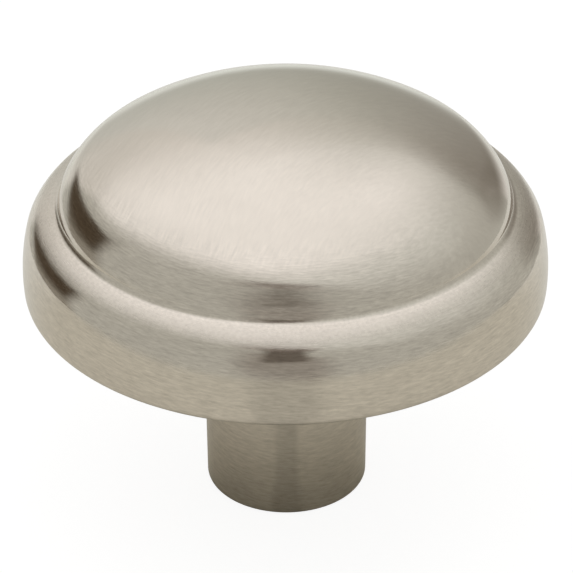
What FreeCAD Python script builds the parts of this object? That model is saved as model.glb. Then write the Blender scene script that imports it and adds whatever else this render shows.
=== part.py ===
import FreeCAD, Part
import math
import os

# Mushroom cabinet knob: one zinc die casting, plated and brushed.
# All sizes in millimetres, angles in degrees.
# The origin is the centre of the stem foot, +Z runs out of the door through the crown.

# Outer sizes
head_diameter = 31.75      # widest point of the side wall
projection = 26.0          # from the door face to the top of the crown

# Dome: a shallow crown, a rounded shoulder and a tighter tuck down into the crease
dome_height = 6.4          # crease up to the top of the crown
shoulder_radius = 5.1
tuck_radius = 2.5
tuck_tilt = 61.0           # slope where the shoulder hands over to the tuck
dome_edge_tilt = 88.0      # slope of the dome where it meets the crease

# Rim: the ledge outside the crease rolls over into a slightly barrelled side wall
ledge_width = 2.28         # crease out to the widest point
rim_depth = 5.64           # crease down to the underside of the head
ledge_tilt = 8.0           # slope of the ledge where it leaves the crease
bead_tilt = 76.0           # slope where the bead hands over to the side wall
barrel_radius = 10.5       # side wall seen in section
lip_chamfer = 0.4          # lower edge of the head, at 45 degrees

# Stem
foot_diameter = 9.9
stem_draft = 0.45          # taper towards the foot, for the die
foot_chamfer = 0.2         # at 45 degrees
root_flare = 0.8           # 45 degree cone that fills the corner under the head

# Tapped hole for a No. 8-32 machine screw, drilled from the foot
tap_drill_diameter = 3.45
bore_depth = 12.0          # full diameter, without the drill point
drill_point_angle = 118.0
mouth_diameter = 4.6       # countersink that takes the burr off the first thread
mouth_angle = 90.0


def direction(tilt):
    """Unit normal, outward and up, of a surface that slopes by tilt from level."""
    angle = math.radians(tilt)
    return FreeCAD.Vector(math.sin(angle), 0, math.cos(angle))


class Section:
    """A run of tangent arcs and lines in the XZ plane, drawn from one end to the other."""

    def __init__(self, radius, height):
        self.start = FreeCAD.Vector(radius, 0, height)
        self.end = self.start
        self.edges = []

    def line_to(self, radius, height):
        target = FreeCAD.Vector(radius, 0, height)
        self.edges.append(Part.LineSegment(self.end, target).toShape())
        self.end = target

    def arc(self, radius, tilt_from, tilt_to):
        centre = self.end - direction(tilt_from) * radius
        middle = centre + direction((tilt_from + tilt_to) / 2) * radius
        target = centre + direction(tilt_to) * radius
        self.edges.append(Part.Arc(self.end, middle, target).toShape())
        self.end = target

    def close(self):
        self.line_to(self.start.x, self.start.z)

    def turned(self):
        """The solid that the closed section sweeps round the Z axis."""
        face = Part.Face(Part.Wire(self.edges))
        return face.revolve(FreeCAD.Vector(0, 0, 0), FreeCAD.Vector(0, 0, 1), 360)


def sine(tilt):
    return math.sin(math.radians(tilt))


def cosine(tilt):
    return math.cos(math.radians(tilt))


def crown_arc():
    """Radius of the crown and the slope where it meets the shoulder.

    The two follow from the dome's height and width once the shoulder and the tuck are taken off.
    """
    dome_radius = head_diameter / 2 - ledge_width
    tuck_across = tuck_radius * (sine(dome_edge_tilt) - sine(tuck_tilt))
    tuck_drop = tuck_radius * (cosine(tuck_tilt) - cosine(dome_edge_tilt))
    across = dome_radius - tuck_across - shoulder_radius * sine(tuck_tilt)
    rise = dome_height - tuck_drop - shoulder_radius * (1 - cosine(tuck_tilt))
    crown_tilt = 2 * math.degrees(math.atan2(rise, across))
    return shoulder_radius + across / sine(crown_tilt), crown_tilt


def rim_arcs():
    """Radius of the bead and the slope where the side wall meets the lip."""
    bead_radius = (ledge_width - barrel_radius * (1 - sine(bead_tilt))) / (sine(bead_tilt) - sine(ledge_tilt))
    bead_drop = bead_radius * (cosine(ledge_tilt) - cosine(bead_tilt))
    wall_drop = rim_depth - bead_drop - lip_chamfer
    lip_tilt = math.degrees(math.acos(cosine(bead_tilt) - wall_drop / barrel_radius))
    return bead_radius, lip_tilt


def knob_body():
    """Head and stem, turned from one section that starts at the crown and ends at the foot."""
    crown_radius, crown_tilt = crown_arc()
    bead_radius, lip_tilt = rim_arcs()
    section = Section(0, projection)
    section.arc(crown_radius, 0, crown_tilt)
    section.arc(shoulder_radius, crown_tilt, tuck_tilt)
    section.arc(tuck_radius, tuck_tilt, dome_edge_tilt)
    section.arc(bead_radius, ledge_tilt, bead_tilt)
    section.arc(barrel_radius, bead_tilt, lip_tilt)
    underside = section.end.z - lip_chamfer
    section.line_to(section.end.x - lip_chamfer, underside)
    flare_foot = underside - root_flare
    stem_radius = foot_diameter / 2 + flare_foot * math.tan(math.radians(stem_draft))
    section.line_to(stem_radius + root_flare, underside)
    section.line_to(stem_radius, flare_foot)
    section.line_to(foot_diameter / 2, foot_chamfer)
    section.line_to(foot_diameter / 2 - foot_chamfer, 0)
    section.line_to(0, 0)
    section.close()
    return section.turned()


def screw_hole():
    """The space left by the tap drill and the countersink, with the drill's point at its end."""
    bore_radius = tap_drill_diameter / 2
    mouth_radius = mouth_diameter / 2
    mouth_depth = (mouth_radius - bore_radius) / math.tan(math.radians(mouth_angle / 2))
    point_height = bore_radius / math.tan(math.radians(drill_point_angle / 2))
    section = Section(0, bore_depth + point_height)
    section.line_to(bore_radius, bore_depth)
    section.line_to(bore_radius, mouth_depth)
    section.line_to(mouth_radius, 0)
    section.line_to(0, 0)
    section.close()
    return section.turned()


def save(shape, name):
    shape.exportStep(os.path.join("parts", name + ".step"))
    print(name, "solids", len(shape.Solids), "volume mm3", round(shape.Volume, 1), "closed", shape.isValid())


os.makedirs("parts", exist_ok=True)
knob = knob_body().cut(screw_hole())
save(knob, "knob")
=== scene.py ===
import math

import bpy
from mathutils import Matrix, Vector


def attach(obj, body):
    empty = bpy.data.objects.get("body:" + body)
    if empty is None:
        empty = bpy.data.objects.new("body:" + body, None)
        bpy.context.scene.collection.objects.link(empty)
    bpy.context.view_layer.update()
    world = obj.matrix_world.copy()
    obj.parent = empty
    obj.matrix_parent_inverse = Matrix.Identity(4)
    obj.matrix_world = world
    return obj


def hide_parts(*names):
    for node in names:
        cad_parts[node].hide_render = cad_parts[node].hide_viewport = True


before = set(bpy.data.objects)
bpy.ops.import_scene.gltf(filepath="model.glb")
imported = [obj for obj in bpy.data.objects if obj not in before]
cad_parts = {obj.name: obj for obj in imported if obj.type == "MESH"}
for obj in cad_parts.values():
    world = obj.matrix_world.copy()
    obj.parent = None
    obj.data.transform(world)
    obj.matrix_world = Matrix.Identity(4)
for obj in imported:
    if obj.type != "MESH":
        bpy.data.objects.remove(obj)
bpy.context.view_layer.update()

millimetre = 0.001  # every size below is in millimetres, every angle in degrees

scene = bpy.context.scene
scene.view_settings.view_transform = "Standard"


def say(stage):
    print("scene:", stage)


# short calls for shader nodes

def addNode(tree, kind, inputs=None, **settings):
    # numbers go on the new node's sockets, sockets are linked to them
    node = tree.nodes.new(kind)
    for name, value in settings.items():
        setattr(node, name, value)
    for key, value in (inputs or {}).items():
        if isinstance(value, bpy.types.NodeSocket):
            tree.links.new(value, node.inputs[key])
        else:
            node.inputs[key].default_value = value
    return node


def doMath(tree, operation, first, second=0.0):
    return addNode(tree, "ShaderNodeMath", {0: first, 1: second}, operation=operation).outputs[0]


def times(tree, first, *others):
    for other in others:
        first = doMath(tree, "MULTIPLY", first, other)
    return first


def add(tree, first, *others):
    for other in others:
        first = doMath(tree, "ADD", first, other)
    return first


def subtract(tree, first, second):
    return doMath(tree, "SUBTRACT", first, second)


def doVector(tree, operation, first, second=None, scale=None):
    inputs = {0: first}
    if second is not None:
        inputs[1] = second
    if scale is not None:
        inputs["Scale"] = scale
    node = addNode(tree, "ShaderNodeVectorMath", inputs, operation=operation)
    return node.outputs["Value" if operation in ("LENGTH", "DOT_PRODUCT") else "Vector"]


def combine(tree, x, y, z=0.0):
    return addNode(tree, "ShaderNodeCombineXYZ", {0: x, 1: y, 2: z}).outputs[0]


def separate(tree, vector):
    return addNode(tree, "ShaderNodeSeparateXYZ", {0: vector}).outputs


def ramp(tree, value, low, high, toLow=0.0, toHigh=1.0):
    # a soft step of value from low to high
    node = addNode(
        tree,
        "ShaderNodeMapRange",
        {"Value": value, "From Min": low, "From Max": high, "To Min": toLow, "To Max": toHigh},
        interpolation_type="SMOOTHSTEP",
    )
    return node.outputs["Result"]


def noise(tree, place, scale=1.0, detail=2.0, rough=0.5):
    inputs = {"Vector": place, "Scale": scale, "Detail": detail, "Roughness": rough}
    return addNode(tree, "ShaderNodeTexNoise", inputs).outputs["Fac"]


def blend(tree, share, first, second):
    return addNode(tree, "ShaderNodeMix", {0: share, 2: first, 3: second}).outputs[0]


def blendVectors(tree, share, first, second):
    return addNode(tree, "ShaderNodeMix", {0: share, 4: first, 5: second}, data_type="VECTOR").outputs[1]


def blendColours(tree, share, first, second, mode="MIX"):
    inputs = {0: share, 6: first, 7: second}
    return addNode(tree, "ShaderNodeMix", inputs, data_type="RGBA", blend_type=mode).outputs[2]


def emptyMaterial(name):
    material = bpy.data.materials.new(name)
    material.use_nodes = True
    material.node_tree.nodes.clear()
    return material


def placeOnPiece(tree):
    place = addNode(tree, "ShaderNodeTexCoord").outputs["Object"]
    return doVector(tree, "SCALE", place, scale=1 / millimetre)


# camera, as the photograph was taken

camera = {
    "place": (0.0554, -169.818, 120.555),
    "target": (0.0554, 0.0, 13.49),
    "lens": 207.33,
    "sensor": 36.0,
    "roll": 0.33,
    "clip": (10.0, 5000.0),
}


def makeCamera():
    place = Vector(camera["place"]) * millimetre
    target = Vector(camera["target"]) * millimetre
    bpy.ops.object.camera_add(location=place)
    eye = bpy.context.object
    eye.name = "camera"
    turn = (target - place).to_track_quat("-Z", "Y").to_matrix()
    roll = Matrix.Rotation(math.radians(-camera["roll"]), 3, "Z")
    eye.rotation_euler = (turn @ roll).to_euler()
    eye.data.lens = camera["lens"]
    eye.data.sensor_width = camera["sensor"]
    eye.data.clip_start, eye.data.clip_end = (clip * millimetre for clip in camera["clip"])
    scene.camera = eye


makeCamera()
say("camera")


# the knob, turned from one section; tilts are the slope of the surface from level

knob = {
    "headRadius": 15.875,
    "height": 26.0,
    "domeHeight": 6.4,
    "shoulderRadius": 5.1,
    "tuckRadius": 2.5,
    "tuckTilt": 61.0,  # where the shoulder hands over to the tuck
    "domeEdgeTilt": 88.0,
    "creaseRadius": 0.55,
    "ledgeWidth": 2.28,
    "ledgeTilt": 8.0,
    "beadTilt": 76.0,  # where the bead hands over to the side wall
    "beadFlat": 3.0,  # the bead's radius between these two tilts, where the belt wore it flatter
    "beadBreaks": (42.0, 62.0),
    "barrelRadius": 10.5,
    "rimDepth": 5.64,
    "facetRoom": 0.0095,  # keeps the round rim inside the box of the solid, which has facets
    "lipRadius": 0.5,
    "flareRadius": 0.8,
    "footDiameter": 9.9,
    "stemDraft": 0.45,
    "footRadius": 0.25,
    "mouthRadius": 2.3,
    "boreRadius": 1.725,
    "boreDepth": 12.0,
    "drillPoint": 118.0,
    "edgeLoop": 0.3,  # from a rounded edge to the next ring, so that the flats shade flat
    "smoothAngle": 30.0,
    "around": 256,
    "steps": {
        "crown": 64,
        "shoulder": 20,
        "tuck": 14,
        "crease": 24,
        "bead": 10,
        "barrel": 18,
        "lip": 10,
        "flare": 10,
        "foot": 8,
    },
}

domeRadius = knob["headRadius"] - knob["ledgeWidth"]
creaseHeight = knob["height"] - knob["domeHeight"]
underside = creaseHeight - knob["rimDepth"]


def sine(tilt):
    return math.sin(math.radians(tilt))


def cosine(tilt):
    return math.cos(math.radians(tilt))


def tiltOf(fromPoint, toPoint):
    # tilt of a direction from straight up, towards +X
    return math.degrees(math.atan2(toPoint[0] - fromPoint[0], toPoint[1] - fromPoint[1]))


def onArc(centre, radius, tilt):
    return (centre[0] + radius * sine(tilt), centre[1] + radius * cosine(tilt))


class Pen:
    # draws a section in the XZ plane with extrude and spin, one selected vertex at a time
    def __init__(self, name, x, z):
        bpy.ops.object.select_all(action="DESELECT")
        bpy.ops.mesh.primitive_plane_add(size=millimetre, location=(x * millimetre, 0, z * millimetre))
        bpy.context.object.name = name
        bpy.ops.object.transform_apply(location=True)
        bpy.ops.object.mode_set(mode="EDIT")
        bpy.ops.mesh.select_all(action="SELECT")
        bpy.ops.mesh.merge(type="CENTER")
        self.x, self.z = x, z

    def lineTo(self, x, z):
        step = ((x - self.x) * millimetre, 0, (z - self.z) * millimetre)
        bpy.ops.mesh.extrude_region_move(TRANSFORM_OT_translate={"value": step})
        self.x, self.z = x, z

    def arcTo(self, centre, toTilt, steps, hollow=False):
        # hollow: the centre lies outside the metal
        here = (self.x, self.z)
        radius = math.dist(here, centre)
        fromTilt = tiltOf(centre, here)
        if hollow:
            fromTilt += -180 if fromTilt > 0 else 180
        bpy.ops.mesh.spin(
            steps=steps,
            angle=math.radians(fromTilt - toTilt),
            center=(centre[0] * millimetre, 0, centre[1] * millimetre),
            axis=(0, 1, 0),
        )
        self.x, self.z = onArc(centre, -radius if hollow else radius, toTilt)


def crownArc():
    # slope at the crown's edge and its radius, from the dome's height, width and two smaller arcs
    k = knob
    tuckAcross = k["tuckRadius"] * (sine(k["domeEdgeTilt"]) - sine(k["tuckTilt"]))
    tuckDrop = k["tuckRadius"] * (cosine(k["tuckTilt"]) - cosine(k["domeEdgeTilt"]))
    across = domeRadius - tuckAcross - k["shoulderRadius"] * sine(k["tuckTilt"])
    drop = k["domeHeight"] - tuckDrop - k["shoulderRadius"] * (1 - cosine(k["tuckTilt"]))
    tilt = 2 * math.degrees(math.atan2(drop, across))
    return tilt, k["shoulderRadius"] + across / sine(tilt)


def beadArc():
    # radius and centre of the one arc from the crease to the side wall
    k = knob
    wallAcross = k["barrelRadius"] * (1 - sine(k["beadTilt"]))
    radius = (k["ledgeWidth"] - wallAcross) / (sine(k["beadTilt"]) - sine(k["ledgeTilt"]))
    return radius, onArc((domeRadius - k["facetRoom"], creaseHeight), -radius, k["ledgeTilt"])


def beadRadii(wholeRadius, fromTilt):
    # the bead's middle radius is given, the two beside it keep its ends in place
    k = knob
    tilts = (fromTilt, *k["beadBreaks"], k["beadTilt"])
    wide = [sine(high) - sine(low) for low, high in zip(tilts, tilts[1:])]
    deep = [cosine(low) - cosine(high) for low, high in zip(tilts, tilts[1:])]
    across = wholeRadius * sum(wide) - k["beadFlat"] * wide[1]
    drop = wholeRadius * sum(deep) - k["beadFlat"] * deep[1]
    both = wide[0] * deep[2] - wide[2] * deep[0]
    inner = (across * deep[2] - wide[2] * drop) / both
    outer = (wide[0] * drop - deep[0] * across) / both
    return inner, k["beadFlat"], outer


def creaseCentre(first, firstRadius, second, secondRadius):
    # centre of the small hollow arc that touches both circles from outside
    firstReach = firstRadius + knob["creaseRadius"]
    secondReach = secondRadius + knob["creaseRadius"]
    gap = math.dist(first, second)
    along = (firstReach**2 - secondReach**2 + gap**2) / (2 * gap)
    off = math.sqrt(firstReach**2 - along**2)
    tilt = tiltOf(first, second)
    middle = onArc(first, along, tilt)
    return max(onArc(middle, off, tilt + 90), onArc(middle, -off, tilt + 90), key=sum)


def drawHead(pen):
    k, steps = knob, knob["steps"]
    crownTilt, crownRadius = crownArc()
    crownCentre = (0.0, k["height"] - crownRadius)
    pen.arcTo(crownCentre, crownTilt, steps["crown"])
    crownEdge = onArc(crownCentre, crownRadius, crownTilt)
    shoulderCentre = onArc(crownEdge, -k["shoulderRadius"], crownTilt)
    pen.arcTo(shoulderCentre, k["tuckTilt"], steps["shoulder"])
    shoulderEdge = onArc(shoulderCentre, k["shoulderRadius"], k["tuckTilt"])
    tuckCentre = onArc(shoulderEdge, -k["tuckRadius"], k["tuckTilt"])

    beadRadius, beadCentre = beadArc()
    crease = creaseCentre(tuckCentre, k["tuckRadius"], beadCentre, beadRadius)
    pen.arcTo(tuckCentre, tiltOf(tuckCentre, crease), steps["tuck"])
    tilt = tiltOf(beadCentre, crease)
    pen.arcTo(crease, tilt, steps["crease"], hollow=True)
    for radius, toTilt in zip(beadRadii(beadRadius, tilt), (*k["beadBreaks"], k["beadTilt"])):
        pen.arcTo(onArc((pen.x, pen.z), -radius, tilt), toTilt, steps["bead"])
        tilt = toTilt

    barrelCentre = onArc((pen.x, pen.z), -k["barrelRadius"], k["beadTilt"])
    lipHeight = underside + k["lipRadius"]
    lipReach = k["barrelRadius"] - k["lipRadius"]
    lipX = barrelCentre[0] + math.sqrt(lipReach**2 - (lipHeight - barrelCentre[1]) ** 2)
    lipCentre = (lipX, lipHeight)
    pen.arcTo(barrelCentre, tiltOf(barrelCentre, lipCentre), steps["barrel"])
    pen.arcTo(lipCentre, 180.0, steps["lip"])


def drawStem(pen):
    k, steps = knob, knob["steps"]
    footEdge = k["footDiameter"] / 2
    flareHeight = underside - k["flareRadius"]

    def stemRadius(height):
        return footEdge + height * math.tan(math.radians(k["stemDraft"]))

    flareX = stemRadius(flareHeight) + k["flareRadius"]
    lipX = pen.x
    for x in (lipX - k["edgeLoop"], (lipX + flareX) / 2, flareX + k["edgeLoop"], flareX):
        pen.lineTo(x, underside)
    pen.arcTo((flareX, flareHeight), 90.0 + k["stemDraft"], steps["flare"], hollow=True)
    for height in (flareHeight - k["edgeLoop"], flareHeight / 2, k["footRadius"] + k["edgeLoop"]):
        pen.lineTo(stemRadius(height), height)
    pen.lineTo(footEdge, k["footRadius"])
    pen.arcTo((footEdge - k["footRadius"], k["footRadius"]), 180.0, steps["foot"])


def drawHole(pen):
    k = knob
    pen.lineTo(pen.x - k["edgeLoop"], 0.0)
    pen.lineTo(k["mouthRadius"] + k["edgeLoop"], 0.0)
    pen.lineTo(k["mouthRadius"], 0.0)
    pen.lineTo(k["boreRadius"], k["mouthRadius"] - k["boreRadius"])
    pen.lineTo(k["boreRadius"], k["boreDepth"])
    pen.lineTo(0.0, k["boreDepth"] + k["boreRadius"] / math.tan(math.radians(k["drillPoint"] / 2)))


def turnKnob():
    pen = Pen("knob_body", 0.0, knob["height"])
    drawHead(pen)
    drawStem(pen)
    drawHole(pen)
    bpy.ops.mesh.select_all(action="SELECT")
    bpy.ops.mesh.spin(
        steps=knob["around"], angle=2 * math.pi, center=(0, 0, 0), axis=(0, 0, 1), use_auto_merge=True
    )
    bpy.ops.mesh.select_all(action="SELECT")
    bpy.ops.mesh.remove_doubles(threshold=0.0001 * millimetre)
    bpy.ops.mesh.normals_make_consistent(inside=False)
    bpy.ops.object.mode_set(mode="OBJECT")
    return bpy.context.object


# the tap that cuts the No. 8-32 thread

tap = {
    "pitch": 25.4 / 32,
    "majorRadius": 2.083,
    "innerRadius": 1.58,  # inside the bore's wall, so that the cut is clean
    "flankTilt": 30.0,
    "crestShare": 1 / 16,  # half of the crest's flat, in pitches
    "start": -0.7,
    "end": 10.9,
    "stepsPerTurn": 40,
}


def makeTap():
    # a V-shaped bar swept up the bore
    t = tap
    flank = (t["majorRadius"] - t["innerRadius"]) * math.tan(math.radians(t["flankTilt"]))
    flat = t["pitch"] * t["crestShare"]
    pen = Pen("tap", t["innerRadius"], t["start"] - flank - flat)
    pen.lineTo(t["majorRadius"], t["start"] - flat)
    pen.lineTo(t["majorRadius"], t["start"] + flat)
    pen.lineTo(t["innerRadius"], t["start"] + flank + flat)
    bpy.ops.mesh.select_all(action="SELECT")
    bpy.ops.mesh.edge_face_add()
    bpy.ops.mesh.delete(type="ONLY_FACE")
    bpy.ops.object.mode_set(mode="OBJECT")
    tool = bpy.context.object
    turns = (t["end"] - t["start"]) / t["pitch"]
    sweep = tool.modifiers.new("sweep", "SCREW")
    sweep.axis = "Z"
    sweep.angle = 2 * math.pi * turns
    sweep.screw_offset = turns * t["pitch"] * millimetre
    sweep.steps = int(turns * t["stepsPerTurn"])
    sweep.render_steps = sweep.steps
    sweep.use_merge_vertices = False
    bpy.ops.object.modifier_apply(modifier="sweep")
    # close both ends of the bar
    bpy.ops.object.mode_set(mode="EDIT")
    bpy.ops.mesh.select_all(action="DESELECT")
    bpy.ops.mesh.select_mode(type="EDGE")
    bpy.ops.mesh.select_non_manifold()
    bpy.ops.mesh.edge_face_add()
    bpy.ops.mesh.select_all(action="SELECT")
    bpy.ops.mesh.normals_make_consistent(inside=False)
    bpy.ops.mesh.select_mode(type="VERT")
    bpy.ops.object.mode_set(mode="OBJECT")
    return tool


def cutThread(body, tool):
    bpy.context.view_layer.objects.active = body
    cut = body.modifiers.new("thread", "BOOLEAN")
    cut.operation = "DIFFERENCE"
    cut.solver = "MANIFOLD"
    cut.object = tool
    bpy.ops.object.modifier_apply(modifier="thread")
    bpy.data.objects.remove(tool)


knobPiece = turnKnob()
say("knob turned, %d faces" % len(knobPiece.data.polygons))
cutThread(knobPiece, makeTap())
knobPiece.select_set(True)
bpy.ops.object.shade_smooth_by_angle(angle=math.radians(knob["smoothAngle"]))
say("thread cut, %d faces" % len(knobPiece.data.polygons))


# brushed nickel plate; pairs are where a soft step starts and ends

nickel = {
    "colour": (0.70, 0.645, 0.577, 1),
    "crownRoughness": 0.085,
    "frontRoughness": 0.2,  # low on the front of the dome, where the strokes turn
    "sideRoughness": 0.095,
    "grooveRoughness": 0.29,  # on top of the bead, where the belt could not reach
    "markRoughness": 0.1,  # share of it that a brush mark adds or takes
    "anisotropy": 0.9,
    # zones, by distance from the axis, by height, or by distance to the front
    "domeRim": (13.62, 13.60),
    "domeFoot": (19.58, 19.60),
    "bandRim": (10.4, 12.6),  # low on the dome the marks run round, in front and to the left
    "bandFacing": (-0.5, -0.86),
    "bandFront": (0.0, 7.0),
    "turnedFront": (-6.0, -10.0),
    "turnedLevel": 0.15,  # what is left there of the strokes' bend
    "grooveFoot": (18.6, 19.2),
    "grooveCalm": 0.6,  # share of the marks' shade that is lost there
    "crease": (13.66, 19.74, 0.0),
    "creaseReach": (0.3, 0.75),
    "creaseGloss": 0.6,  # left of the roughness in the crease, where the plate kept its gloss
    # marks round the axis: how fine along the stroke and across it, per millimetre
    "longMarks": (0.6, 6.5),
    "shortMarks": (2.0, 8.5),
    "slantMarks": (1.2, 7.5),
    "slant": 0.14,
    "shortShare": 0.6,
    "slantShare": 0.35,
    # marks on the crown, in arcs round two points beside the dome
    "strokeCentre": (20.0, -21.0),
    "strokeMarks": (0.8, 5.8),
    "crossCentre": (34.0, -20.0),
    "crossMarks": (1.0, 6.2),
    "beltReach": 42.0,
    "patchScale": 0.25,
    "patchStep": (0.4, 0.8),
    "crossShare": 0.7,
    # what the marks do to the light and the surface
    "crownShade": 0.028,
    "sideShade": 0.20,
    "crownDepth": 0.0025,
    "sideDepth": 0.004,
    "noiseSpread": 0.2,
    "strokeRough": 0.55,
    "cloudShade": 0.015,
    "cloudScale": 0.7,
    "cloudDetail": 4.0,
    "cloudRough": 0.6,
    "grainShade": 0.06,
    "grainScale": 5.0,
}


def signed(tree, value):
    # noise about nought, mostly between -1 and 1
    return doMath(tree, "DIVIDE", subtract(tree, value, 0.5), nickel["noiseSpread"])


def strokesRound(tree, x, y, down, along, across):
    # marks long round the axis and narrow down the section
    place = combine(tree, times(tree, x, along), times(tree, y, along), times(tree, down, across))
    return noise(tree, place, rough=nickel["strokeRough"])


def strokesArc(tree, x, y, centre, along, across):
    # marks along arcs round a point beside the dome, and the direction away from it
    away = combine(tree, subtract(tree, x, centre[0]), subtract(tree, y, centre[1]))
    reach = doVector(tree, "LENGTH", away)
    heading = doVector(tree, "NORMALIZE", away)
    heading = separate(tree, doVector(tree, "SCALE", heading, scale=nickel["beltReach"] * along))
    place = combine(tree, heading[0], heading[1], times(tree, reach, across))
    return noise(tree, place, rough=nickel["strokeRough"]), away


def brushZones(tree, x, y, z, radius):
    # shares of the dome, of its crown, of its front where the strokes turn, and of the groove
    n = nickel
    inDome = times(tree, ramp(tree, radius, *n["domeRim"]), ramp(tree, z, *n["domeFoot"]))
    facing = add(tree, times(tree, x, n["bandFacing"][0]), times(tree, y, n["bandFacing"][1]))
    band = times(tree, ramp(tree, radius, *n["bandRim"]), ramp(tree, facing, *n["bandFront"]))
    onCrown = times(tree, inDome, subtract(tree, 1.0, band))
    turned = ramp(tree, y, *n["turnedFront"])
    groove = times(tree, ramp(tree, z, *n["grooveFoot"]), subtract(tree, 1.0, inDome))
    return inDome, onCrown, turned, groove


def brushMarks(tree, place, x, y, down, onCrown):
    # arcs over the crown, round and round elsewhere
    n = nickel
    slanting = add(tree, down, times(tree, x, n["slant"]))
    sideMarks = blend(
        tree,
        n["shortShare"],
        strokesRound(tree, x, y, down, *n["longMarks"]),
        strokesRound(tree, x, y, down, *n["shortMarks"]),
    )
    slantMarks = strokesRound(tree, x, y, slanting, *n["slantMarks"])
    sideMarks = blend(tree, n["slantShare"], sideMarks, slantMarks)
    strokes, away = strokesArc(tree, x, y, n["strokeCentre"], *n["strokeMarks"])
    crossed = strokesArc(tree, x, y, n["crossCentre"], *n["crossMarks"])[0]
    patches = ramp(tree, noise(tree, place, n["patchScale"]), *n["patchStep"], 0.0, n["crossShare"])
    crownMarks = blend(tree, patches, strokes, crossed)
    return signed(tree, blend(tree, onCrown, sideMarks, crownMarks)), away


def plateColour(tree, place, marks, onCrown, groove):
    n = nickel
    shade = blend(tree, onCrown, n["sideShade"], n["crownShade"])
    shade = times(tree, shade, subtract(tree, 1.0, times(tree, groove, n["grooveCalm"])))
    cloud = signed(tree, noise(tree, place, n["cloudScale"], n["cloudDetail"], n["cloudRough"]))
    grain = signed(tree, noise(tree, place, n["grainScale"]))
    level = add(
        tree,
        1.0,
        times(tree, marks, shade),
        times(tree, cloud, n["cloudShade"]),
        times(tree, grain, groove, n["grainShade"]),
    )
    return blendColours(tree, 1.0, n["colour"], combine(tree, level, level, level), "MULTIPLY")


def plateRoughness(tree, radius, z, marks, inDome, turned, groove):
    n = nickel
    roughness = blend(tree, turned, n["crownRoughness"], n["frontRoughness"])
    roughness = blend(tree, inDome, n["sideRoughness"], roughness)
    roughness = blend(tree, groove, roughness, n["grooveRoughness"])
    spread = n["markRoughness"]
    uneven = ramp(tree, marks, -1.0, 1.0, 1.0 - spread, 1.0 + spread)
    off = doVector(tree, "LENGTH", doVector(tree, "SUBTRACT", combine(tree, radius, z), n["crease"]))
    gloss = ramp(tree, off, *n["creaseReach"], n["creaseGloss"], 1.0)
    return times(tree, roughness, uneven, gloss)


def brushTangent(tree, flat, away, inDome, turned):
    # the gloss spreads across the marks
    level = doVector(tree, "MULTIPLY", away, (1.0, nickel["turnedLevel"], 1.0))
    across = blendVectors(tree, inDome, flat, blendVectors(tree, turned, away, level))
    brush = doVector(tree, "CROSS_PRODUCT", (0.0, 0.0, 1.0), across)
    normal = addNode(tree, "ShaderNodeNewGeometry").outputs["Normal"]
    return doVector(tree, "NORMALIZE", doVector(tree, "CROSS_PRODUCT", brush, normal))


def makeNickel():
    material = emptyMaterial("brushed_nickel")
    tree = material.node_tree
    place = placeOnPiece(tree)
    x, y, z = separate(tree, place)
    flat = combine(tree, x, y)
    radius = doVector(tree, "LENGTH", flat)
    down = subtract(tree, z, radius)  # falls steadily from the crown to the foot
    inDome, onCrown, turned, groove = brushZones(tree, x, y, z, radius)
    marks, away = brushMarks(tree, place, x, y, down, onCrown)
    depth = blend(tree, onCrown, nickel["sideDepth"] * millimetre, nickel["crownDepth"] * millimetre)
    height = times(tree, marks, depth, nickel["noiseSpread"])
    bump = addNode(tree, "ShaderNodeBump", {"Height": height, "Distance": 1.0, "Strength": 1.0})
    shader = addNode(
        tree,
        "ShaderNodeBsdfPrincipled",
        {
            "Base Color": plateColour(tree, place, marks, onCrown, groove),
            "Metallic": 1.0,
            "Roughness": plateRoughness(tree, radius, z, marks, inDome, turned, groove),
            "Anisotropic": nickel["anisotropy"],
            "Tangent": brushTangent(tree, flat, away, inDome, turned),
            "Normal": bump.outputs[0],
        },
    )
    addNode(tree, "ShaderNodeOutputMaterial", {"Surface": shader.outputs[0]})
    return material


knobPiece.data.materials.clear()
knobPiece.data.materials.append(makeNickel())
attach(knobPiece, "root")
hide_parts("knob")
say("brushed nickel")


# pale floor; what the metal reflects is a little darker close to the foot and in front, a painted shadow
# and a painted dark reflection, and lighter behind, painted light

floor = {
    "radius": 85.0,
    "rim": 5.0,
    "around": 96,
    "colour": (0.785, 0.765, 0.695, 1),
    # painted light: the floor is lighter behind the knob
    "behind": (0.98, 0.98, 0.95, 1),
    "behindFrom": (2.0, 40.0),
    "paintedContactShadow": 0.6,  # painted shadow: left of the colour close to the foot
    "contactReach": (3.0, 14.0),
    "contactTurn": (45.0, 115.0),  # from the front round to where it has faded
    "paintedFrontReflection": 0.82,  # painted dark reflection: left of it straight in front
    "mirrorTurn": (7.0, 17.0),
    "seenWhite": 0.89,  # what the camera sees: white, less a soft shadow
    "seenShadow": (0.20, 0.20, 0.20, 1),
}


def floorColour(tree):
    place = placeOnPiece(tree)
    x, y = separate(tree, place)[:2]
    radius = doVector(tree, "LENGTH", place)
    turn = doMath(tree, "ABSOLUTE", doMath(tree, "ARCTAN2", x, times(tree, y, -1.0)))
    contactTurn = (math.radians(angle) for angle in floor["contactTurn"])
    mirrorTurn = (math.radians(angle) for angle in floor["mirrorTurn"])
    # painted shadow close to the foot, fading towards the sides
    contact = ramp(tree, turn, *contactTurn, floor["paintedContactShadow"], 1.0)
    contact = ramp(tree, radius, *floor["contactReach"], contact, 1.0)
    # a painted dark reflection in a narrow wedge straight in front
    shade = times(tree, contact, ramp(tree, turn, *mirrorTurn, floor["paintedFrontReflection"], 1.0))
    # painted light behind the knob
    colour = blendColours(tree, ramp(tree, y, *floor["behindFrom"]), floor["colour"], floor["behind"])
    return blendColours(tree, 1.0, colour, combine(tree, shade, shade, shade), "MULTIPLY")


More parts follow.
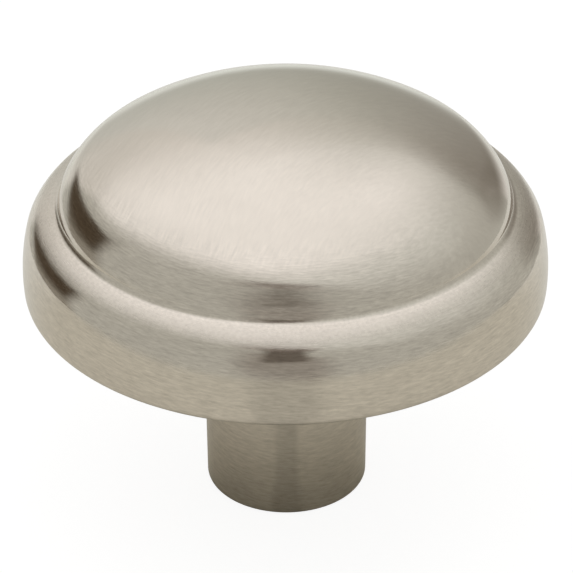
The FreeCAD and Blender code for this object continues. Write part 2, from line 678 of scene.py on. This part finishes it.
def makeFloor():
    bpy.ops.object.select_all(action="DESELECT")
    bpy.ops.mesh.primitive_circle_add(
        vertices=floor["around"], radius=floor["radius"] * millimetre, fill_type="NGON"
    )
    ground = bpy.context.object
    ground.name = "floor"
    bpy.ops.object.mode_set(mode="EDIT")
    bpy.ops.mesh.select_all(action="SELECT")
    bpy.ops.mesh.inset(thickness=floor["rim"] * millimetre)
    bpy.ops.object.mode_set(mode="OBJECT")
    material = emptyMaterial("pale_floor")
    tree = material.node_tree
    cameraRay = addNode(tree, "ShaderNodeLightPath").outputs["Is Camera Ray"]
    matt = addNode(tree, "ShaderNodeBsdfDiffuse", {"Color": floorColour(tree)}).outputs[0]
    shadow = addNode(tree, "ShaderNodeBsdfDiffuse", {"Color": floor["seenShadow"]}).outputs[0]
    white = addNode(tree, "ShaderNodeEmission", {"Strength": floor["seenWhite"]}).outputs[0]
    seen = addNode(tree, "ShaderNodeAddShader", {0: shadow, 1: white}).outputs[0]
    above = addNode(tree, "ShaderNodeMixShader", {0: cameraRay, 1: matt, 2: seen}).outputs[0]
    # from below, the camera looks through it
    clear = addNode(tree, "ShaderNodeBsdfTransparent").outputs[0]
    below = times(tree, addNode(tree, "ShaderNodeNewGeometry").outputs["Backfacing"], cameraRay)
    surface = addNode(tree, "ShaderNodeMixShader", {0: below, 1: above, 2: clear}).outputs[0]
    addNode(tree, "ShaderNodeOutputMaterial", {"Surface": surface})
    ground.data.materials.append(material)


makeFloor()
say("floor")


# soft studio round the knob: dark and pale cards, far away

studio = {
    "walls": (0.53, 0.53, 0.49),
    "white": (1.0, 1.0, 1.0, 1),
    # each card lies over those before it; a corner is its turn from the front towards +X
    # and its lift above the horizon, and soft is how far the edge after each corner blurs
    "cards": {
        "wash": {
            "corners": ((-10, 50), (2, 70), (93, 79), (143, 43), (101, 19), (36, 34)),
            "soft": (8, 7, 7, 22, 21, 9),
            "light": (0.76, 0.77, 0.74),
        },
        "overhead": {
            "corners": ((6, 42), (-123, 27), (-146, 17), (190, 24), (153, 18), (94, 57), (-15, 49)),
            "soft": (16, 8, 6, 11, 12, 20, 9),
            "light": (1.13, 1.12, 1.12),
        },
        "behind": {
            "corners": ((-158, 55), (150, 37), (132, 11), (156, -34), (-162, -34), (-132, 21)),
            "soft": (21, 3, 2, 5, 3, 25),
            "light": (0.82, 0.80, 0.77),
        },
        "behindEdge": {
            "corners": ((-158, 43), (172, 35), (148, 13), (175, -30), (-157, -4)),
            "soft": (1, 5, 8, 10, 2),
            "light": (0.82, 0.82, 0.80),
        },
        "behindRight": {
            "corners": ((141, 54), (140, 52), (157, -11), (209, -8)),
            "soft": (12, 23, 5, 30),
            "light": (0.50, 0.51, 0.46),
        },
        "behindLow": {
            "corners": ((169, -12), (-149, -13), (-124, -47), (138, -50), (152, -18)),
            "soft": (9, 5, 5, 2, 11),
            "light": (0.80, 0.85, 0.77),
        },
        "brownRight": {
            "corners": ((126, 22), (135, 27), (144, 36), (170, -9), (127, -7), (130, -11)),
            "soft": (13, 5, 23, 9, 5, 19),
            "light": (0.22, 0.20, 0.17),
        },
        "greyLeft": {
            "corners": ((-136, 0), (-101, 4), (-98, -24), (-124, -22)),
            "soft": (3, 5, 6, 4),
            "light": (0.30, 0.28, 0.24),
        },
        "brownLeft": {
            "corners": ((-149, 0), (-131, 15), (-114, 21), (-101, 26), (-101, 2), (-137, -6)),
            "soft": (2, 2, 2, 5, 6, 4),
            "light": (0.08, 0.06, 0.04),
        },
        "columnLow": {
            "corners": ((-19, 40), (17, 26), (18, -19), (-20, -9)),
            "soft": (2, 8, 8, 8),
            "light": (0.35, 0.33, 0.30),
        },
        "column": {
            "corners": ((-10, 46), (9, 46), (10, 18), (-10, 15)),
            "soft": (2, 3, 4, 3),
            "light": (0.16, 0.14, 0.12),
        },
        "streak": {
            "corners": ((-30, 50), (-2, 51), (18, 46), (13, 42), (-6, 44), (-20, 46)),
            "soft": (1, 1, 2, 2, 2, 2),
            "light": (0.20, 0.16, 0.14),
        },
    },
}


def towards(turn, lift):
    return Vector((cosine(lift) * sine(turn), -cosine(lift) * cosine(turn), sine(lift)))


def cardMask(tree, direction, card):
    # how much of the card lies in a direction, from 0 to 1: inside all of its soft edges
    corners = [towards(*corner) for corner in card["corners"]]
    middle = sum(corners, Vector())
    share = 1.0
    for first, second, soft in zip(corners, corners[1:] + corners[:1], card["soft"]):
        edge = first.cross(second).normalized()
        if edge.dot(middle) < 0:
            edge.negate()
        inside = ramp(tree, doVector(tree, "DOT_PRODUCT", direction, edge), -sine(soft), sine(soft))
        share = times(tree, inside, share)
    return share


def makeStudio():
    world = bpy.data.worlds.new("studio")
    world.use_nodes = True
    scene.world = world
    tree = world.node_tree
    tree.nodes.clear()
    direction = addNode(tree, "ShaderNodeTexCoord").outputs["Generated"]
    light = (*studio["walls"], 1)
    for card in studio["cards"].values():
        light = blendColours(tree, cardMask(tree, direction, card), light, (*card["light"], 1))
    around = addNode(tree, "ShaderNodeBackground", {"Color": light}).outputs[0]
    white = addNode(tree, "ShaderNodeBackground", {"Color": studio["white"]}).outputs[0]
    cameraRay = addNode(tree, "ShaderNodeLightPath").outputs["Is Camera Ray"]
    mixed = addNode(tree, "ShaderNodeMixShader", {0: cameraRay, 1: around, 2: white}).outputs[0]
    addNode(tree, "ShaderNodeOutputWorld", {"Surface": mixed})


makeStudio()
say("studio")

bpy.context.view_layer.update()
say("sizes written")
